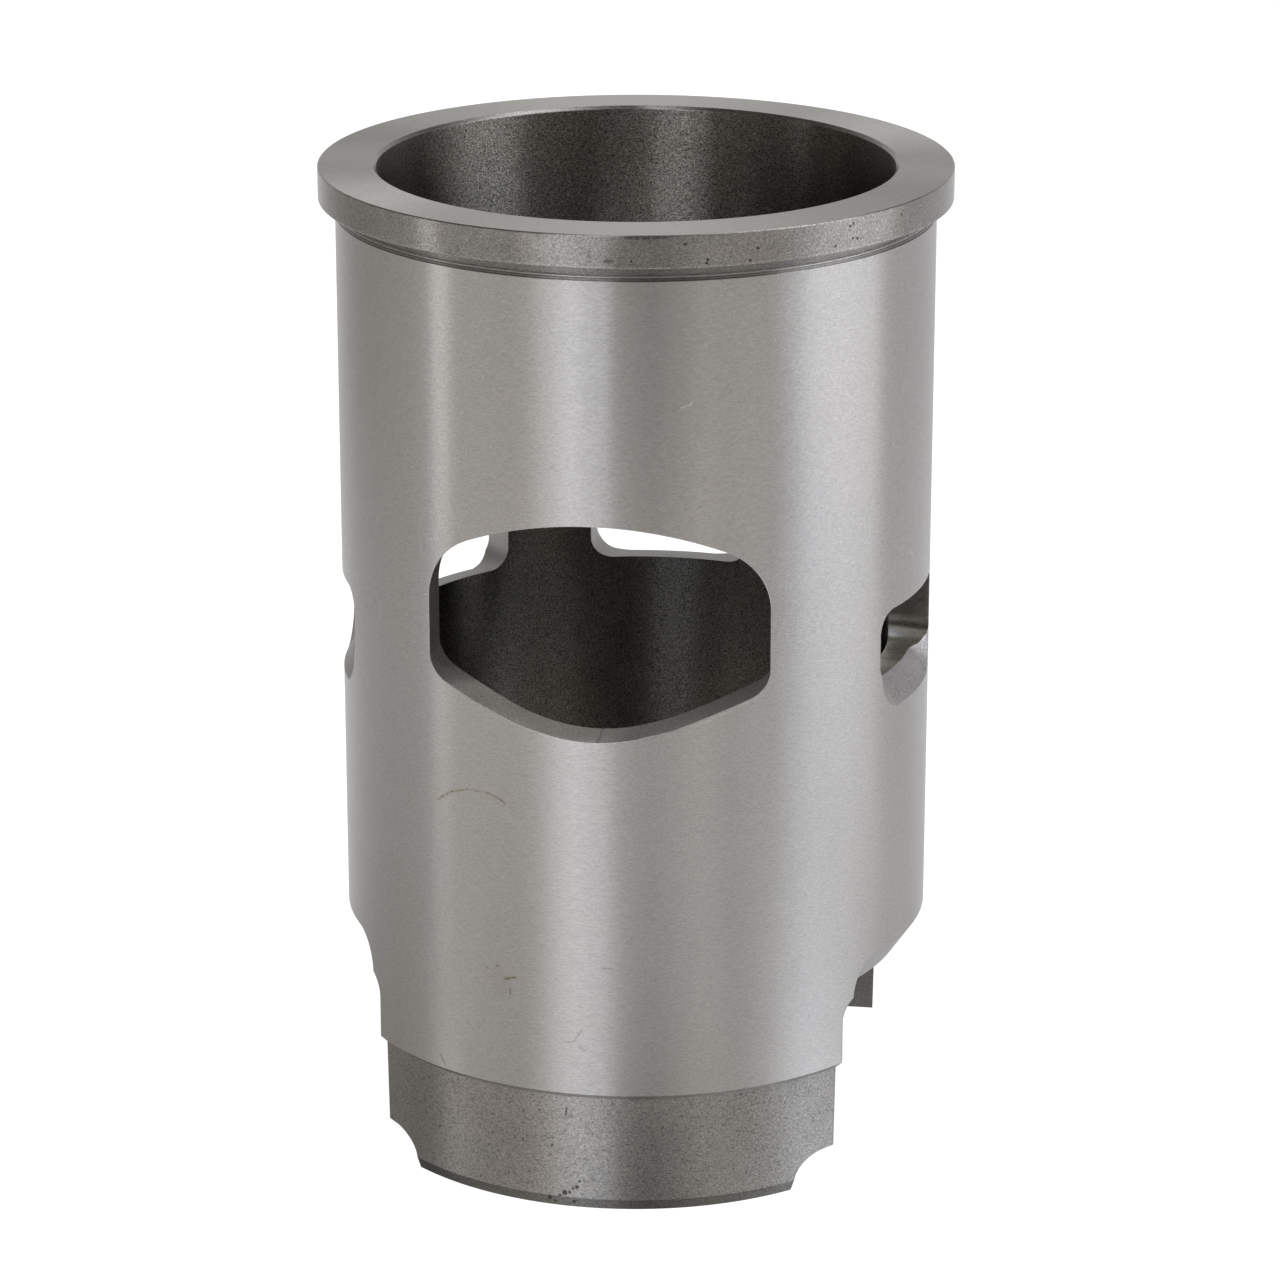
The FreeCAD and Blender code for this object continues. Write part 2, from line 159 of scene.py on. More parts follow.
def exhaust_cutter(bm):
    """Arched roof, upright walls and a shallow V of a floor, drawn on the XZ plane, pulled to -Y."""
    # half the width, the radii of the roof, its corners, the V's bottom and the walls' feet
    half, roof, corner, vee, foot = 26.0, 46.5, 11.3, 33.0, 4.0
    slope = math.radians(21.5)
    highest, lowest = TOP - 44.9, TOP - 78.8
    roof_level = highest - roof
    vee_level = lowest + vee
    corner_level = roof_level + math.sqrt((roof - corner) ** 2 - (half - corner) ** 2)
    lean = math.degrees(math.atan2(corner_level - roof_level, half - corner))
    run = vee * math.sin(slope)
    flank = vee_level - vee * math.cos(slope)
    foot_x = half - foot
    foot_z = flank + (foot_x - run) * math.tan(slope) + foot / math.cos(slope)
    tilt = math.degrees(slope)
    first = bm.verts.new((-run, 0, flank))
    at = arc_to(bm, first, (0, 0, vee_level), 2 * tilt, 24)
    at = line_to(bm, at, foot_x + foot * math.sin(slope), foot_z - foot * math.cos(slope))
    at = arc_to(bm, at, (foot_x, 0, foot_z), 90 - tilt, 10)
    at = line_to(bm, at, half, corner_level)
    at = arc_to(bm, at, (half - corner, 0, corner_level), lean, 20)
    at = arc_to(bm, at, (0, 0, roof_level), 180 - 2 * lean, 48)
    at = arc_to(bm, at, (corner - half, 0, corner_level), lean, 20)
    at = line_to(bm, at, -half, foot_z)
    at = arc_to(bm, at, (-foot_x, 0, foot_z), 90 - tilt, 10)
    bm.edges.new((at, first))
    outline = bmesh.ops.contextual_create(bm, geom=bm.edges[:])["faces"]
    # straight to inside the bore, and from there with the floor dressed down towards its outer edge
    for reach, dressed in ((36.0, 0.0), (CLEAR, 1.1)):
        pulled = bmesh.ops.extrude_face_region(bm, geom=outline)["geom"]
        if dressed:
            bmesh.ops.delete(bm, geom=outline, context="FACES_ONLY")
        outline = [item for item in pulled if isinstance(item, bmesh.types.BMFace)]
        for item in pulled:
            if isinstance(item, bmesh.types.BMVert):
                item.co.y = -reach
                if item.co.z < foot_z:
                    item.co.z += floor_offset(item.co.x, half, foot, dressed)


def window_cutter(bm, low, high, corner, reach, turn=0.0):
    """
    A box along -Y with its four long edges rounded, turned about the bore by an angle towards +X.
    low and high are its corners across and upwards, and reach is where it starts and ends.
    """
    size = Vector((high[0] - low[0], reach[1] - reach[0], high[1] - low[1]))
    middle = Vector(((low[0] + high[0]) / 2, -(reach[0] + reach[1]) / 2, (low[1] + high[1]) / 2))
    bmesh.ops.create_cube(bm, size=1)
    bmesh.ops.scale(bm, verts=bm.verts[:], vec=size)
    long_edges = [edge for edge in bm.edges
                  if abs(edge.verts[0].co.y - edge.verts[1].co.y) > size.y / 2]
    bmesh.ops.bevel(bm, geom=long_edges, offset=corner, offset_type="OFFSET", segments=10,
                    profile=0.5, affect="EDGES", material=-1)
    bmesh.ops.translate(bm, verts=bm.verts[:], vec=middle)
    bmesh.ops.rotate(bm, verts=bm.verts[:], cent=(0, 0, 0),
                     matrix=Matrix.Rotation(math.radians(turn), 3, "Z"))


def path_ring(bm, first, last, radius, level, slope):
    """What a pointed cutter takes as it travels round: a ring of three-sided section."""
    point, depth, flare = cutter_point(radius, slope)
    corners = [bm.verts.new((0, -point, level)), bm.verts.new((0, -point - depth, level - flare)),
               bm.verts.new((0, -point - depth, level + flare))]
    section = bm.faces.new(corners)
    bmesh.ops.rotate(bm, verts=corners, cent=(0, 0, 0),
                     matrix=Matrix.Rotation(math.radians(first), 3, "Z"))
    bmesh.ops.spin(bm, geom=[section], cent=(0, 0, 0), axis=(0, 0, 1),
                   angle=math.radians(last - first), steps=max(12, round(2 * (last - first))),
                   use_merge=False, use_duplicate=False)


def path_end(bm, angle, radius, level, slope):
    """The cone that the pointed cutter leaves where it stops."""
    point, depth, flare = cutter_point(radius, slope)
    lay_down = Matrix.Rotation(math.radians(angle), 4, "Z") @ Matrix.Rotation(math.radians(90), 4, "X")
    middle = Matrix.Translation((0, 0, level)) @ lay_down @ Matrix.Translation((0, 0, point + depth / 2))
    bmesh.ops.create_cone(bm, cap_ends=True, cap_tris=False, segments=96, radius1=0, radius2=flare,
                          depth=depth, matrix=middle)


def cutter_point(radius, slope):
    """Radius of the cutter's point, and its depth and spread where it is clear of the flange."""
    point = GROUND - radius / math.tan(math.radians(slope))
    depth = REACH + 2 - point
    return point, depth, depth * math.tan(math.radians(slope))


def cutters():
    """Every cutter in the order in which it is used."""
    made = [cutter_piece("exhaust_cutter", exhaust_cutter, EXHAUST_FINISH)]
    low, high, corner, out = TOP - 76.4, TOP - 64.5, 3.6, (5.0, CLEAR)
    # left and right edge, degrees round the bore, level of the ramp's middle, finish of the walls
    ports = [
        ("boost", -13.1, 13.1, 180.0, 81.1, REAR_FINISH),
        ("right_side", -13.0, 13.0, 78.4, 81.1, PORT_FINISH),
        ("left_side", -13.0, 13.0, -78.4, 81.1, PORT_FINISH),
        ("right_rear", -22.5, 0.0, 139.8, 79.7, REAR_FINISH),
        ("left_rear", 0.0, 22.5, -139.8, 79.7, REAR_FINISH),
    ]
    ramp, slope = 6.0, 58.0
    for name, left, right, turn, level, finish in ports:
        made.append(cutter_piece(name + "_port", window_cutter, finish, (left, low), (right, high),
                                 corner, out, turn))
        # the pointed cutter's middle travels between these angles
        first = turn + math.degrees(math.asin((left + ramp) / GROUND))
        last = turn + math.degrees(math.asin((right - ramp) / GROUND))
        made += path(name + "_ramp", first, last, ramp, level, slope)
    # one cut from side to side makes both skirt windows, and a wider one narrows the tongues' foot
    across = (-CLEAR, CLEAR)
    made.append(cutter_piece("skirt_window", window_cutter, WINDOW_FINISH, (-28.4, -4.0),
                             (27.5, TOP - 125.5), 4.0, across, 90.0))
    made.append(cutter_piece("skirt_foot", window_cutter, WINDOW_FINISH, (-34.1, -6.0), (34.1, 5.55),
                             4.2, across, 90.0))
    bevel, bevel_slope, bevel_width, bevel_top = 6.3, 55.5, 55.6, TOP - 120.2
    travel = math.degrees(math.asin((bevel_width / 2 - bevel) / GROUND))
    for side, middle in (("right", 90.0), ("left", 270.0)):
        made += path(side + "_bevel", middle - travel, middle + travel, bevel, bevel_top - bevel,
                     bevel_slope)
    return made


def path(name, first, last, radius, level, slope):
    """The cutters of a ramp or a bevel: the travelled ring and the cone at either end."""
    return [cutter_piece(name, path_ring, RAMP_FINISH, first, last, radius, level, slope),
            cutter_piece(name + "_start", path_end, RAMP_FINISH, first, radius, level, slope),
            cutter_piece(name + "_end", path_end, RAMP_FINISH, last, radius, level, slope)]


def milled_liner(finishes):
    """The turned blank with every port, ramp, window and bevel cut out of it."""
    bm = bmesh.new()
    turned_blank(bm)
    mesh = bpy.data.meshes.new("liner_blank")
    bm.to_mesh(mesh)
    bm.free()
    blank = bpy.data.objects.new("liner_blank", mesh)
    bpy.context.scene.collection.objects.link(blank)
    tools = cutters()
    for piece in [blank, *tools]:
        for finish in finishes:
            piece.data.materials.append(finish)
    for tool in tools:
        cut = blank.modifiers.new(tool.name, "BOOLEAN")
        cut.operation = "DIFFERENCE"
        cut.solver = "MANIFOLD"
        cut.object = tool
    bpy.context.view_layer.update()
    depsgraph = bpy.context.evaluated_depsgraph_get()
    cut_mesh = bpy.data.meshes.new_from_object(blank.evaluated_get(depsgraph))
    for piece in [blank, *tools]:
        bpy.data.objects.remove(piece)
    bm = bmesh.new()
    bm.from_mesh(cut_mesh)
    # corners that all but meet become one, and edges stay sharp where the faces turn away
    bmesh.ops.remove_doubles(bm, verts=bm.verts[:], dist=0.02)
    bmesh.ops.dissolve_degenerate(bm, edges=bm.edges[:], dist=0.01)
    for face in bm.faces:
        face.smooth = True
    for edge in bm.edges:
        edge.smooth = len(edge.link_faces) == 2 and edge.calc_face_angle(0) < math.radians(18)
    bmesh.ops.scale(bm, verts=bm.verts[:], vec=(MM, MM, MM))
    bm.to_mesh(cut_mesh)
    bm.free()
    liner = bpy.data.objects.new("ported_liner", cut_mesh)
    bpy.context.scene.collection.objects.link(liner)
    return liner


class Socket:
    """A value in a shader: arithmetic on it adds Math nodes behind it."""

    def __init__(self, nodes, link):
        self.nodes = nodes
        self.link = link

    def maths(self, operation, *others):
        inputs = dict(enumerate((self, *others)))
        return self.nodes.add("ShaderNodeMath", {"operation": operation}, inputs)

    def __add__(self, other):
        return self.maths("ADD", other)

    __radd__ = __add__

    def __mul__(self, other):
        return self.maths("MULTIPLY", other)

    __rmul__ = __mul__

    def __sub__(self, other):
        return self.maths("SUBTRACT", other)

    def __rsub__(self, other):
        return self * -1.0 + other

    def __truediv__(self, other):
        return self.maths("DIVIDE", other)

    def clamped(self):
        return self.nodes.add("ShaderNodeClamp", None, {"Value": self})

    def between(self, low, high):
        """0 up to low, 1 from high on, and a smooth rise in between."""
        return self.nodes.add("ShaderNodeMapRange", {"interpolation_type": "SMOOTHSTEP"},
                              {"Value": self, "From Min": low, "From Max": high})


class Nodes:
    """A node tree that is filled by expressions on its sockets."""

    def __init__(self, tree):
        self.tree = tree

    def add(self, kind, settings=None, inputs=None, output=0):
        """Adds a node: its settings first, then the values or links of its sockets."""
        node = self.tree.nodes.new(kind)
        for name, value in (settings or {}).items():
            if name == "stops":
                self.set_stops(node.color_ramp, value)
            else:
                setattr(node, name, value)
        for name, value in (inputs or {}).items():
            if isinstance(value, Socket):
                self.tree.links.new(value.link, node.inputs[name])
            else:
                node.inputs[name].default_value = value
        return Socket(self, node.outputs[output]) if node.outputs else None

    def set_stops(self, ramp, stops):
        while len(ramp.elements) < len(stops):
            ramp.elements.new(0.5)
        for element, (position, colour) in zip(ramp.elements, stops):
            element.position = position
            element.color = (*colour, 1)

    def mix(self, share, first, second):
        """One colour turning into another."""
        node = self.tree.nodes.new("ShaderNodeMix")
        node.data_type = "RGBA"
        for place, value in ((0, share), (6, first), (7, second)):
            if isinstance(value, Socket):
                self.tree.links.new(value.link, node.inputs[place])
            else:
                node.inputs[place].default_value = value if place == 0 else (*value, 1)
        return Socket(self, node.outputs[2])

    def brightened(self, colour, level):
        return self.add("ShaderNodeVectorMath", {"operation": "SCALE"}, {0: colour, "Scale": level})

    def place(self, size=1.0, drawn_out=1.0, shift=0.0):
        """
        The place on the piece in units of a size in millimetres. Patterns are drawn out along the bore
        where drawn_out is above 1, and round it where it is below 1.
        """
        here = self.add("ShaderNodeTexCoord", output="Object")
        scale = 1 / (size * MM)
        return self.add("ShaderNodeMapping", {"vector_type": "POINT"},
                        {"Vector": here, "Location": (shift, shift, shift),
                         "Scale": (scale, scale, scale / drawn_out)})

    def laid_flat(self):
        """The wall laid out flat: millimetres round the ground surface from the front, and up."""
        here = self.add("ShaderNodeTexCoord", output="Object")
        x, y, z = (self.add("ShaderNodeSeparateXYZ", None, {0: here}, axis) for axis in "XYZ")
        return x.maths("ARCTAN2", y * -1.0) * GROUND, z / MM

    def line(self, flat, points, width):
        """1 on a thin line through places on the flat layout, fading over its width."""
        across, up = flat
        nearest = None
        for start, end in zip(points, points[1:]):
            run, rise = end[0] - start[0], end[1] - start[1]
            length = run * run + rise * rise
            from_start, above = across - start[0], up - start[1]
            along = (from_start * (run / length) + above * (rise / length)).clamped()
            off, over = from_start - along * run, above - along * rise
            away = off * off + over * over
            nearest = away if nearest is None else nearest.maths("MINIMUM", away)
        return 1 - nearest.maths("SQRT").between(0.15 * width, 0.6 * width)

    def spot(self, flat, middle, size):
        """1 in the middle of an oval place on the flat layout, fading to its edge."""
        across, up = (flat[0] - middle[0]) / size[0], (flat[1] - middle[1]) / size[1]
        return 1 - (across * across + up * up).between(0.1, 1.0)

    def brushed(self, flat, degrees, length, width):
        """Even noise about 0.5, drawn out in one direction of the flat layout."""
        across, up = flat
        cosine, sine = math.cos(math.radians(degrees)), math.sin(math.radians(degrees))
        where = self.add("ShaderNodeCombineXYZ", None, {"X": (across * cosine + up * sine) / length,
                                                        "Y": (up * cosine - across * sine) / width})
        return self.add("ShaderNodeTexNoise", None, {"Vector": where, "Scale": 1.0, "Detail": 2.0})

    def noise(self, size, drawn_out=1.0, detail=1.0, shift=0.0):
        """Even noise about 0.5, with features of a size in millimetres."""
        return self.add("ShaderNodeTexNoise", None,
                        {"Vector": self.place(size, drawn_out, shift), "Scale": 1.0,
                         "Detail": detail, "Roughness": 0.6})

    def pits(self, spacing, size, share, shift=0.0):
        """Scattered small ragged spots in a share of the cells: 1 in a spot and 0 elsewhere."""
        where = self.place(spacing, 1.0, shift)
        settings = {"feature": "F1"}
        inputs = {"Vector": where, "Scale": 1.0}
        away = self.add("ShaderNodeTexVoronoi", settings, inputs, "Distance")
        cell = self.add("ShaderNodeTexVoronoi", settings, inputs, "Color")
        chance = self.add("ShaderNodeSeparateColor", None, {"Color": cell})
        ragged = away + (self.noise(size / 2, shift=shift) - 0.5) * (0.6 * size / spacing)
        spot = 1 - ragged.between(0.3 * size / spacing, 0.5 * size / spacing)
        return spot * chance.between(1 - share, 1 - 0.8 * share)


def iron(name, warm, cool, roughness, spread, grain, grain_size=0.3, streak=0.0, mottle=0.1,
         mottle_size=7.0, pitting=0.0, pores=0.0, relief=0.0, edge=0.15, turn=0.25, dulled=0.0, metal=1.0,
         marks_and_painted_light=None):
    """
    Bare iron. warm and cool are the two tones that drift over it; spread is how far the tool's lines
    draw a reflection out, and turn is which way; grain, streak, mottle and pores are shares of its
    brightness, and pitting is the share of places with a pit; relief is the height of the grain in
    millimetres; edge is how much lighter the broken edges are, dressed metal with a painted highlight;
    dulled is how much rougher it gets towards the foot; marks_and_painted_light adds what is found on
    this one wall only, painted shade, highlights and reflections among it.
    """
    material = bpy.data.materials.new(name)
    material.use_nodes = True
    nodes = Nodes(material.node_tree)
    shader = material.node_tree.nodes["Principled BSDF"]
    shader.inputs["Metallic"].default_value = metal
    shader.inputs["Anisotropic"].default_value = spread
    shader.inputs["Anisotropic Rotation"].default_value = turn

    speckle = nodes.noise(grain_size, 0.8)
    lines = nodes.noise(0.9, 0.2, 2.0, 3.0)
    clouds = nodes.noise(mottle_size, 0.8, 3.0, 5.0)
    level = 1 + (speckle - 0.5) * grain + (lines - 0.5) * streak + (clouds - 0.5) * mottle
    if pitting:
        level = level * (1 - nodes.pits(1.6, 0.55, pitting, 7.0) * 0.65)
        level = level * (1 - nodes.pits(4.3, 1.0, pitting * 0.7, 9.0) * 0.7)
    if pores:
        level = level * (1 - nodes.noise(0.55, 0.6, 2.0, 13.0).between(0.56, 0.7) * pores)
    # softly broken edges, and a lighter line on them: metal dressed by hand, with a painted highlight
    normal = nodes.add("ShaderNodeBevel", {"samples": 4}, {"Radius": 0.22 * MM})
    true_normal = nodes.add("ShaderNodeNewGeometry", output="Normal")
    turned_away = 1 - nodes.add("ShaderNodeVectorMath", {"operation": "DOT_PRODUCT"},
                                {0: normal, 1: true_normal}, "Value")
    dressed = 0.3 + nodes.noise(0.8, 1.0, 2.0, 15.0).between(0.35, 0.65) * 1.4
    level = level * (1 + turned_away.between(0.01, 0.12) * dressed * edge)
    drift = nodes.noise(24.0, 1.0, 1.0, 11.0) + (nodes.noise(0.6, 0.8, 1.0, 17.0) - 0.5) * 1.2
    colour = nodes.mix(drift.between(0.3, 0.7), warm, cool)
    if marks_and_painted_light:
        colour, level = marks_and_painted_light(nodes, colour, level)
    colour = nodes.brightened(colour, level.maths("MAXIMUM", 0.03))
    nodes.tree.links.new(colour.link, shader.inputs["Base Color"])
    rough = roughness + (clouds - 0.5) * 0.05
    if dulled:
        rough = rough + (1 - nodes.laid_flat()[1].between(20, 130)) * dulled
    nodes.tree.links.new(rough.link, shader.inputs["Roughness"])
    if relief:
        bump = nodes.add("ShaderNodeBump", None, {"Strength": 1.0, "Distance": relief * MM,
                                                  "Height": speckle + lines * 0.5, "Normal": normal})
        nodes.tree.links.new(bump.link, shader.inputs["Normal"])
    else:
        nodes.tree.links.new(normal.link, shader.inputs["Normal"])
    return material


# Places on the wall: millimetres round the ground surface from the front, and millimetres up.
STAIN_ARC = [(-26.2, 64.3), (-23.3, 66.2), (-20.4, 67.1), (-17.1, 67.3), (-15.2, 66.8), (-13.7, 66.0)]
RUST_STREAK = [(-14.0, 37.3), (-13.1, 37.6), (-12.3, 37.8)]
RUST_SPOTS = [(-17.15, 38.5), (-15.4, 39.2)]
STAIN_BROWN = (0.15, 0.118, 0.062)
# line, width and how much darker it is, or lighter below 0
SCRATCHES = [
    ([(-13.2, 35.9), (-13.2, 34.8)], 0.3, 0.4),
    ([(-1.7, 30.4), (-2.8, 28.5)], 0.4, 0.2),
    ([(-4.5, 28.2), (-3.0, 28.3)], 0.4, 0.2),
    ([(-2.0, 27.6), (-1.3, 27.0)], 0.4, 0.2),
    ([(1.4, 40.8), (3.2, 40.8)], 0.3, 0.2),
    ([(-26.5, 21.7), (-25.5, 20.4)], 0.5, 0.3),
    ([(-19.3, 27.0), (-18.5, 28.7), (-17.8, 29.7)], 0.3, 0.12),
    ([(13.3, 129.3), (14.7, 129.7), (15.0, 130.0)], 0.35, -0.3),
    ([(19.6, 130.4), (20.4, 132.5), (20.9, 131.4)], 0.35, 0.08),
    ([(-28.5, 96.7), (-27.2, 97.0)], 0.3, -0.3),
    ([(59.9, 98.9), (61.3, 97.7), (60.9, 97.2)], 0.4, -0.25),
]


def ground_marks_and_glint(nodes, colour, level):
    """An old stain, a little rust, light scratches and a painted glint on the ground wall."""
    flat = nodes.laid_flat()
    ragged = nodes.noise(0.5, 1.0, 2.0, 4.0).between(0.3, 0.62)
    stain = nodes.line(flat, STAIN_ARC, 0.5) * ragged * 0.65
    stain = stain + nodes.spot(flat, (-15.0, 36.6), (2.6, 3.4)) * 0.1
    stain = stain + nodes.line(flat, STAIN_ARC[:2], 0.7) * ragged * 0.2
    stain = stain + nodes.line(flat, RUST_STREAK, 0.5) * 0.7
    for place in RUST_SPOTS:
        stain = stain + nodes.spot(flat, place, (0.35, 0.3)) * 0.5
    colour = nodes.mix(stain.clamped(), colour, STAIN_BROWN)
    for points, width, darker in SCRATCHES:
        level = level * (1 - nodes.line(flat, points, width) * darker)
    # a painted glint: lighter just below the exhaust port's right edge
    level = level * (1 + nodes.line(flat, [(15.5, 79.6), (25.3, 83.4)], 0.6) * ragged * 0.12)
    return colour, level * (1 - nodes.pits(5.0, 0.5, 0.08, 2.0) * 0.3)


def face_shade_and_highlight(nodes, colour, level):
    """The flange face: painted shade at both sides and a painted highlight at the back on the left."""
    across = nodes.laid_flat()[0]
    side, left = across.maths("ABSOLUTE"), across * -1.0
    # painted shade at both sides, then a painted highlight at the back on the left
    level = level * (1 - side.between(45, 62) * (1 - side.between(82, 98)) * 0.1)
    return colour, level * (1 + left.between(85, 105) * (1 - left.between(122, 140)) * 0.15)


RIM_PITS = [
    (13.45, 154.55), (16.5, 151.6), (16.6, 152.1), (23.85, 153.25), (22.7, 151.6), (39.6, 154.9),
    (39.0, 154.6), (39.5, 152.7), (40.4, 152.5), (36.3, 152.0),
]
RIM_SCUFFS = [
    [(5.3, 155.55), (7.0, 155.55)], [(7.6, 155.5), (8.5, 155.5)], [(9.1, 155.55), (11.0, 155.55)],
]
# place and size of the pits low on the spigot and in the lead-in
SPIGOT_PITS = [
    ((-4.7, 2.35), 0.6), ((-3.9, 2.5), 0.35), ((-3.3, 3.2), 0.3), ((-2.7, 3.5), 0.45),
    ((-2.6, 1.0), 0.55), ((-5.5, 1.7), 0.4), ((-2.3, 4.5), 0.28), ((-6.6, 1.3), 0.35),
    ((-1.0, 1.3), 0.3),
]
LEAD_PITS = [((-7.2, 1.2), 0.5), ((-3.2, 0.9), 0.4), ((-6.3, 0.7), 0.3)]


def rim_marks_and_highlight(nodes, colour, level):
    """Casting pits in the rim, scuffs below its upper edge, a painted highlight along its lower edge and two
    darker places at the front.
    """
    flat = nodes.laid_flat()
    for place in RIM_PITS:
        level = level * (1 - nodes.spot(flat, place, (0.3, 0.26)) * 0.85)
    ragged = nodes.noise(0.6, 1.0, 2.0, 4.0).between(0.25, 0.55)
    for points in RIM_SCUFFS:
        level = level * (1 - nodes.line(flat, points, 0.45) * ragged * 0.6)
    # a painted highlight along the rim's lower edge
    level = level * (1 + (1 - flat[1].between(151.15, 151.4)) * ragged * 0.15)
    level = level * (1 - nodes.spot(flat, (2.9, 152.1), (0.9, 0.4)) * 0.5)
    level = level * (1 - nodes.spot(flat, (0.2, 152.6), (0.5, 1.2)) * 0.2)
    return colour, level


def spigot_marks_and_shade(nodes, colour, level):
    """A chain of pits and a short scratch in the turned spigot, with painted shade at both sides."""
    flat = nodes.laid_flat()
    for place, size in SPIGOT_PITS:
        level = level * (1 - nodes.spot(flat, place, (size, size)) * 0.8)
    # painted shade at both sides of the spigot
    left = flat[0] * -1.0
    further_left = left.between(22, 27) * (1 - left.between(33, 38))
    level = level * (1 - left.between(8, 20) * 0.1 - further_left * 0.12)
    level = level * (1 - flat[0].between(22, 34) * 0.09)
    return colour, level * (1 - nodes.line(flat, [(-4.3, 16.8), (-4.4, 15.7)], 0.4) * 0.6)


def lead_marks_and_shade(nodes, colour, level):
    """Painted shade round to the left, with a few pits at the front."""
    flat = nodes.laid_flat()
    # painted shade round to the left
    level = level * (1 - (flat[0] * -1.0).between(12, 30) * 0.5)
    for place, size in LEAD_PITS:
        level = level * (1 - nodes.spot(flat, place, (size, size)) * 0.7)
    return colour, level


def bore_marks_and_shade(nodes, colour, level):
    """Silvery at the mouth, with painted shade further down the bore, and lighter in a broad place behind on
    the left.
    """
    flat = nodes.laid_flat()
    # painted shade: the bore darker further down from its mouth
    mouth = flat[1].between(96, 128)
    silver = (nodes.noise(0.6, 0.45, 3.0, 21.0).between(0.4, 0.62) - 0.4) * mouth * 0.3
    level = level * (0.41 + mouth * 0.41 + silver)
    return colour, level * (1 + nodes.spot(flat, (-100.0, 84.0), (18.0, 26.0)) * 0.6)


def exhaust_shade_and_seam(nodes, colour, level):
    """Painted shade to the right of the floor, in its left foot and higher up the port, with a seam where
    the V's sides meet.
    """
    flat = nodes.laid_flat()
    across, up = flat
    left = across * -1.0
    # painted shade to the right of the floor and in its left foot
    level = level * (1 - across.between(-1, 8) * 0.33) * (1 - across.between(12, 24) * 0.22)
    level = level * (1 - left.between(21.5, 26.5) * 0.5) * (1 - left.between(27, 29) * 0.3)
    level = level * (1 - nodes.line(flat, [(0.9, 76.5), (0.9, 79.0)], 0.6) * 0.25)
    # painted shade higher up the port
    return colour, level * (1 - up.between(84, 90) * 0.25)


def port_painted_reflections(nodes, colour, level):
    """Painted reflections on the walls of the side ports: a bright strip low down, a lighter bottom edge and
    a darker band above the strip.
    """
    flat = nodes.laid_flat()
    up = flat[1]
    # painted reflections: a bright brushed strip, a lighter bottom edge and a darker band
    off_bright, off_dark = up - 80.3, up - 82.1
    brushed = 0.5 + nodes.brushed(flat, 0, 6.0, 0.5).between(0.35, 0.65)
    painted_reflection = (1 - (off_bright * off_bright).between(0.05, 1.1)) * brushed
    painted_dark_band = 1 - (off_dark * off_dark).between(0.05, 0.6)
    lowest = 1 - up.between(78.9, 79.6)
    return colour, level * (1 + painted_reflection * 3.3 + lowest * 0.9 - painted_dark_band * 0.35)


def ramp_marks_and_highlight(nodes, colour, level):
    """Fine mill lines on the ramps, and a painted highlight on the near facet of the side ramps."""
    flat = nodes.laid_flat()
    across, up = flat
    level = level * (1 + (nodes.brushed(flat, 62, 1.6, 0.16) - 0.5) * 0.8)
    side = across.maths("ABSOLUTE")
    # a painted highlight on the facet, which lies below a slanting line, on the near part of the ramp only
    facet = 1 - ((side - 52.1) * 0.69 + (up - 79.9) * 0.72).between(-0.12, 0.12)
    facet = facet * (1 - side.between(61, 62))
    level = level * (1 + facet * 0.1)
    return colour, level * (1 + nodes.spot(flat, (72.5, 79.2), (9, 4)) * 0.05)


def finishes():
    """The liner's materials, in the order of its finishes."""
    return [
        iron("ground_iron", (0.312, 0.296, 0.279), (0.307, 0.295, 0.282), 0.25, 1.0, 0.38, streak=0.45,
             mottle=0.06, edge=0.1, dulled=0.09, marks_and_painted_light=ground_marks_and_glint),
        iron("ground_face", (0.402, 0.384, 0.357), (0.390, 0.374, 0.352), 0.35, 0.9, 0.5, streak=0.2,
             mottle=0.15, turn=0.0, marks_and_painted_light=face_shade_and_highlight),
        iron("turned_rim", (0.202, 0.189, 0.172), (0.197, 0.189, 0.178), 0.22, 1.0, 1.55, streak=0.5,
             mottle=0.5, pitting=0.05, relief=0.004, edge=0.1, marks_and_painted_light=rim_marks_and_highlight),
        # painted shade on the grinding relief and the groove below its land
        iron("relief_groove_shade", (0.147, 0.138, 0.126), (0.147, 0.142, 0.134), 0.3, 0.9, 1.3, streak=0.8),
        iron("rough_spigot", (0.218, 0.203, 0.184), (0.208, 0.201, 0.190), 0.31, 1.0, 1.5, streak=0.5,
             mottle=0.3, pitting=0.12, pores=0.4, relief=0.004, marks_and_painted_light=spigot_marks_and_shade),
        iron("lead_in", (0.105, 0.1, 0.09), (0.11, 0.105, 0.1), 0.36, 0.9, 1.2, streak=0.3, pores=0.3,
             marks_and_painted_light=lead_marks_and_shade),
        iron("honed_bore", (0.215, 0.196, 0.163), (0.21, 0.202, 0.188), 0.31, 1.0, 3.6, grain_size=0.26,
             mottle=0.25, pores=0.12, relief=0.004, marks_and_painted_light=bore_marks_and_shade),
        iron("exhaust_wall", (0.505, 0.474, 0.432), (0.495, 0.475, 0.447), 0.6, 0.0, 1.2, mottle=0.6,
             pores=0.2, edge=0.4, marks_and_painted_light=exhaust_shade_and_seam),
        iron("port_wall", (0.285, 0.275, 0.24), (0.3, 0.292, 0.265), 0.34, 0.0, 1.2, mottle=0.5,
             mottle_size=3.0, edge=0.3, marks_and_painted_light=port_painted_reflections),
        iron("ramp", (0.265, 0.253, 0.245), (0.262, 0.252, 0.249), 0.38, 0.0, 1.3, mottle=0.3, edge=0.4,
             marks_and_painted_light=ramp_marks_and_highlight),
        iron("window_wall", (0.125, 0.117, 0.107), (0.125, 0.121, 0.115), 0.48, 0.0, 0.9, mottle=0.3),
        # a painted highlight along the relief's corner
        iron("relief_corner_highlight", (0.8, 0.77, 0.72), (0.8, 0.775, 0.74), 0.4, 0.0, 0.9, metal=0.5),
        iron("rear_port_wall", (0.37, 0.36, 0.335), (0.38, 0.372, 0.35), 0.5, 0.0, 0.6, mottle=0.2, edge=0.1,
             metal=0.5),
    ]


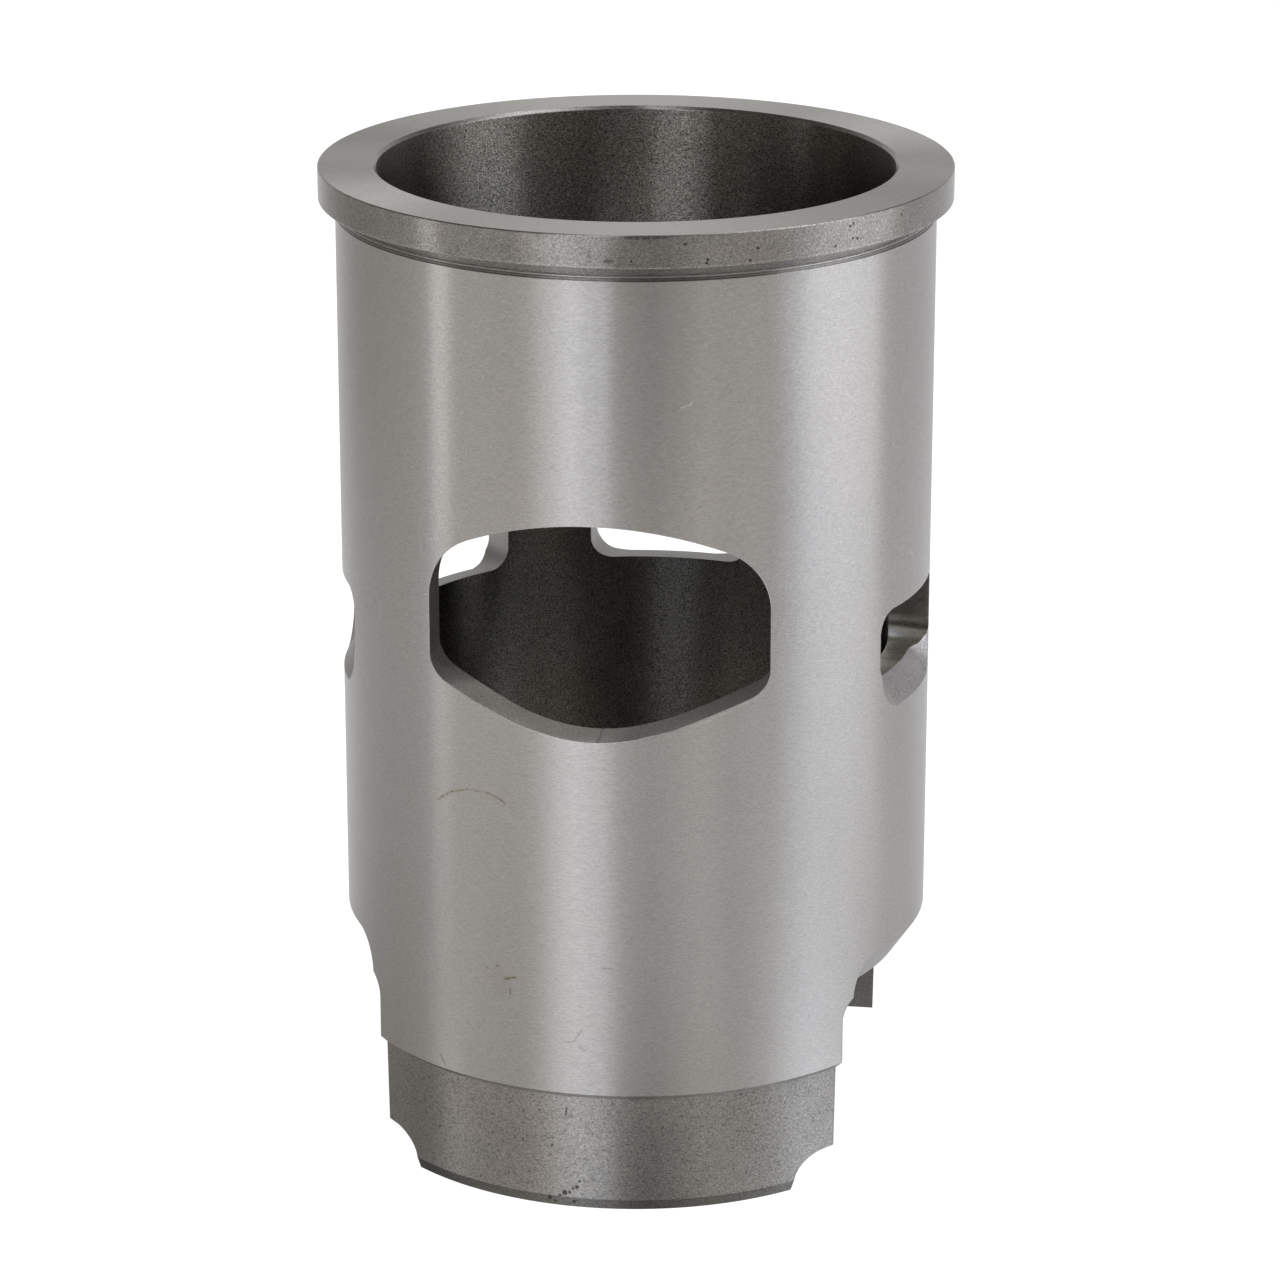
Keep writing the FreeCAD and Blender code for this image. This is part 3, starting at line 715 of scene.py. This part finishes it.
def studio():
    """White round the liner for the camera, and soft boxes and grey walls for the metal to reflect."""
    world = bpy.data.worlds.new("studio")
    bpy.context.scene.world = world
    world.use_nodes = True
    world.node_tree.nodes.clear()
    nodes = Nodes(world.node_tree)
    towards = nodes.add("ShaderNodeTexCoord", output="Generated")
    x = nodes.add("ShaderNodeSeparateXYZ", None, {0: towards}, "X")
    y = nodes.add("ShaderNodeSeparateXYZ", None, {0: towards}, "Y")
    turn = x.maths("ARCTAN2", y * -1.0) / math.tau + 0.5
    warm, cool = (1.026, 1.0, 0.96), (0.95, 0.98, 1.055)
    plain, mauve = (1.0, 1.0, 1.0), (0.995, 0.985, 1.015)
    # soft boxes and grey walls round the liner: angle to the right of the camera, level and tint
    walls = [
        (-168, 0.66, plain), (-150, 0.62, plain), (-132, 0.52, warm), (-120, 0.56, warm), (-96, 0.76, warm),
        (-86, 0.98, plain), (-81.5, 1.98, plain), (-78, 1.98, plain), (-73, 0.98, warm), (-48, 0.90, warm),
        (-42, 1.03, warm), (-36, 1.5, plain), (-30, 1.74, cool), (-24, 1.94, cool), (-19, 1.4, cool),
        (-11.5, 1.2, cool), (-8, 0.55, warm), (6, 0.34, warm), (18, 0.57, warm), (27, 0.9, warm),
        (46, 0.96, warm), (56, 0.98, warm), (62, 1.2, cool), (71, 2.1, cool), (88, 2.14, cool),
        (102, 2.12, cool), (106, 1.55, plain), (111, 1.08, plain), (122, 0.95, mauve), (144, 0.79, mauve),
        (165, 0.7, mauve),
    ]
    # overhead it is darker, with two narrow strips of light
    overhead = [
        (-150, 0.72, plain), (-122, 0.12, warm), (-100, 0.12, warm), (-46, 0.2, warm), (-37, 0.4, plain),
        (-30, 2.5, cool), (-13, 2.5, cool), (-7, 0.45, plain), (3, 0.2, warm), (54, 0.22, warm),
        (61, 4.2, cool), (86, 4.8, cool), (102, 1.1, plain), (114, 0.2, warm), (125, 0.25, warm),
        (150, 0.72, plain),
    ]
    low_ring, high_ring = (
        nodes.add("ShaderNodeValToRGB", {"stops": sorted(
            ((angle + CAMERA_TURN + 180) % 360 / 360, [level * share for share in tint])
            for angle, level, tint in ring)}, {"Fac": turn}, "Color")
        for ring in (walls, overhead))
    z = nodes.add("ShaderNodeSeparateXYZ", None, {0: towards}, "Z")
    room = nodes.mix(z.between(0.08, 0.35), low_ring, high_ring)
    seen = nodes.add("ShaderNodeLightPath", output="Is Camera Ray")
    white = nodes.mix(seen, room, (1, 1, 1))
    background = nodes.add("ShaderNodeBackground", None, {"Color": white})
    nodes.add("ShaderNodeOutputWorld", None, {"Surface": background})


def floor():
    """A pale floor that is white to the camera but keeps the liner's shadow."""
    bm = bmesh.new()
    bmesh.ops.create_grid(bm, x_segments=1, y_segments=1, size=6)
    mesh = bpy.data.meshes.new("floor")
    bm.to_mesh(mesh)
    bm.free()
    piece = bpy.data.objects.new("floor", mesh)
    bpy.context.scene.collection.objects.link(piece)
    material = bpy.data.materials.new("pale_floor")
    material.use_nodes = True
    material.node_tree.nodes.clear()
    nodes = Nodes(material.node_tree)
    shaded = nodes.add("ShaderNodeBsdfDiffuse", None, {"Color": (0.22, 0.22, 0.22, 1)})
    lit = nodes.add("ShaderNodeEmission", None, {"Strength": 0.94})
    for_camera = nodes.add("ShaderNodeAddShader", None, {0: shaded, 1: lit})
    matt = nodes.add("ShaderNodeBsdfDiffuse", None, {"Color": (0.8, 0.8, 0.8, 1)})
    clear = nodes.add("ShaderNodeBsdfTransparent")
    # The metal sees the floor unevenly: most of it from 12 to 20 cm off the bore's axis, with
    # a glow in front and to the left, and darker to the right.
    here = nodes.add("ShaderNodeTexCoord", output="Object")
    away = nodes.add("ShaderNodeVectorMath", {"operation": "LENGTH"}, {0: here}, "Value")
    along_x, along_y = (nodes.add("ShaderNodeSeparateXYZ", None, {0: here}, axis) for axis in "XY")
    turn = math.radians(CAMERA_TURN)
    # 1 straight towards the camera, and 1 straight to its right
    facing = (along_x * math.sin(turn) - along_y * math.cos(turn)) / away
    aside = (along_x * math.cos(turn) + along_y * math.sin(turn)) / away
    ahead = facing.between(0.82, 0.97) * (0.55 + (1 - away.between(0.11, 0.25)) * 0.35)
    on_right = aside.between(0.66, 0.82) * facing.between(0.1, 0.35)
    on_left = (aside * -1.0).between(0.25, 0.45) * facing.between(0.25, 0.5)
    near = 1 - away.between(0.14, 0.24)
    far_right = aside.between(0.85, 0.97) * (1 - facing.between(-0.1, 0.1)) * near
    glow = 0.45 + ahead + on_left * 0.25 - on_right * 0.55 + far_right * 0.35
    in_metal = away.between(0.07, 0.12) * (1 - away.between(0.2, 0.46)) * 0.62 + 0.1
    glowing = nodes.add("ShaderNodeEmission", None, {"Strength": glow})
    bright = nodes.add("ShaderNodeAddShader", None, {0: matt, 1: glowing})
    for_metal = nodes.add("ShaderNodeMixShader", None, {0: in_metal, 1: clear, 2: bright})
    glossy = nodes.add("ShaderNodeLightPath", output="Is Glossy Ray")
    camera_ray = nodes.add("ShaderNodeLightPath", output="Is Camera Ray")
    others = nodes.add("ShaderNodeMixShader", None, {0: glossy, 1: matt, 2: for_metal})
    surface = nodes.add("ShaderNodeMixShader", None, {0: camera_ray, 1: others, 2: for_camera})
    nodes.add("ShaderNodeOutputMaterial", None, {"Surface": surface})
    mesh.materials.append(material)


def camera():
    """The photograph's viewpoint: a long lens, a little above the flange and turned to the right."""
    lens = bpy.data.cameras.new("camera")
    lens.lens = 133.735
    lens.sensor_width = 36
    # the photograph is framed a little off the liner's middle
    lens.shift_x = 0.0029
    lens.clip_start = 0.05
    lens.clip_end = 50
    piece = bpy.data.objects.new("camera", lens)
    piece.location = (0.1036, -0.7099, 0.31767)
    looking_down = 18.44
    piece.rotation_euler = (math.radians(90 - looking_down), 0, math.radians(CAMERA_TURN))
    bpy.context.scene.collection.objects.link(piece)
    bpy.context.scene.camera = piece


camera()
studio()
floor()
liner = milled_liner(finishes())
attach(liner, "root")
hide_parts("cylinder_liner")

bpy.context.scene.view_settings.view_transform = "Standard"
